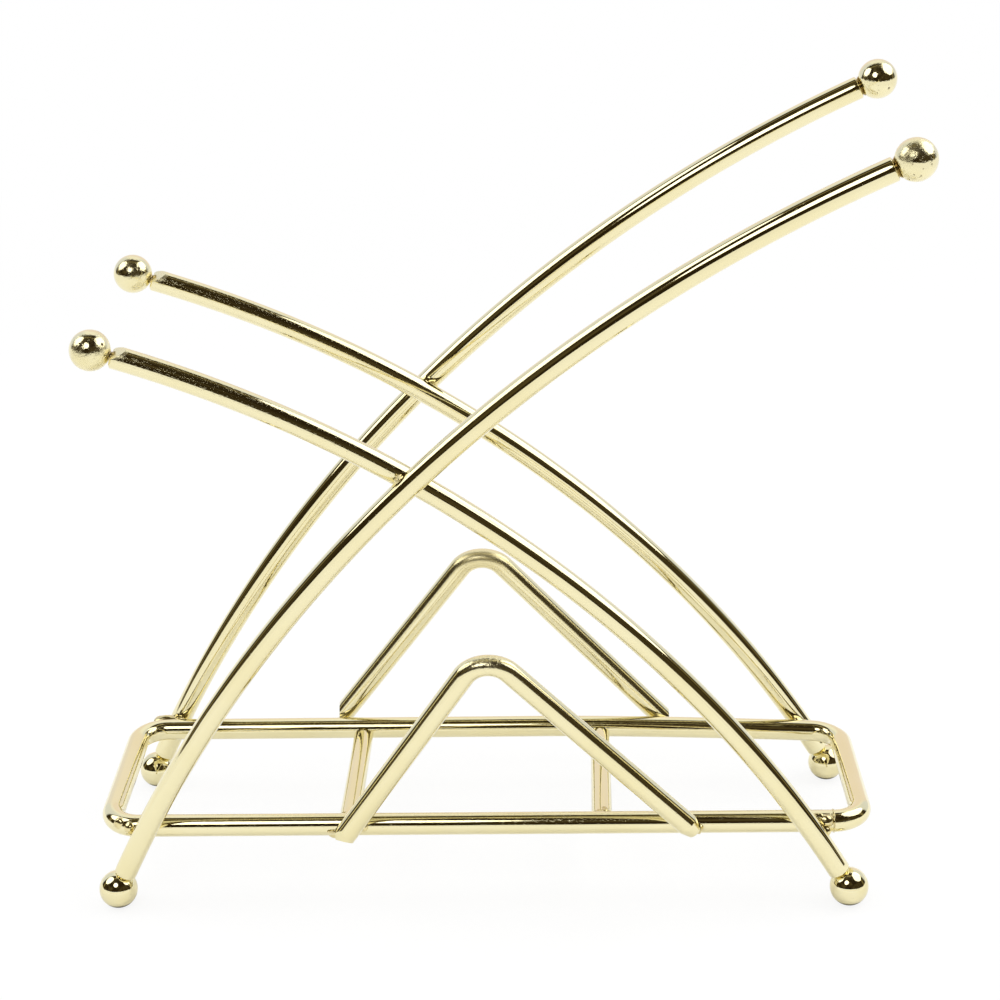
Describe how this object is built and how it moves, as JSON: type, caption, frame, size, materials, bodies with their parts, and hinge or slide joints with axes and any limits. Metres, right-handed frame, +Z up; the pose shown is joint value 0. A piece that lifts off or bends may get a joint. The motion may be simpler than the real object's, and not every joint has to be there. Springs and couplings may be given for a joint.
{
  "type": "napkin holder",
  "caption": "Upright napkin holder of bent and welded round wire: a raised oblong loop with cross bars, crossing curved arms and a low peak on each side, and balls as feet and tips.",
  "frame": {"origin": "on the table, under the middle of the base loop", "axes": "+X along the base loop towards the long arms' tips, +Y from the front side to the back side, +Z up"},
  "size_m": [0.1799, 0.0742, 0.1758],
  "materials": {
    "plated_wire": "polished pale gold-tone plating over steel wire",
    "plated_ball": "polished pale gold-tone plating over steel balls, with fine pits",
    "weld": "gold-tone plating over slightly rough weld metal"
  },
  "bodies": {
    "root": {"base_loop": "plated_wire", "cross_bar_left": "plated_wire", "cross_bar_right": "plated_wire", "front_long_arm": "plated_wire", "front_short_arm": "plated_wire", "back_long_arm": "plated_wire", "back_short_arm": "plated_wire", "front_peak": "plated_wire", "back_peak": "plated_wire", "front_left_tip_ball": "plated_ball", "front_right_tip_ball": "plated_ball", "back_left_tip_ball": "plated_ball", "back_right_tip_ball": "plated_ball", "front_left_foot_ball": "plated_ball", "front_right_foot_ball": "plated_ball", "back_left_foot_ball": "plated_ball", "back_right_foot_ball": "plated_ball", "arm_rail_welds": "weld", "peak_rail_welds": "weld", "cross_bar_welds": "weld", "arm_crossing_welds": "weld", "tip_ball_welds": "weld", "foot_ball_welds": "weld", "loop_seam_weld": "weld"}
  },
  "joints": []
}
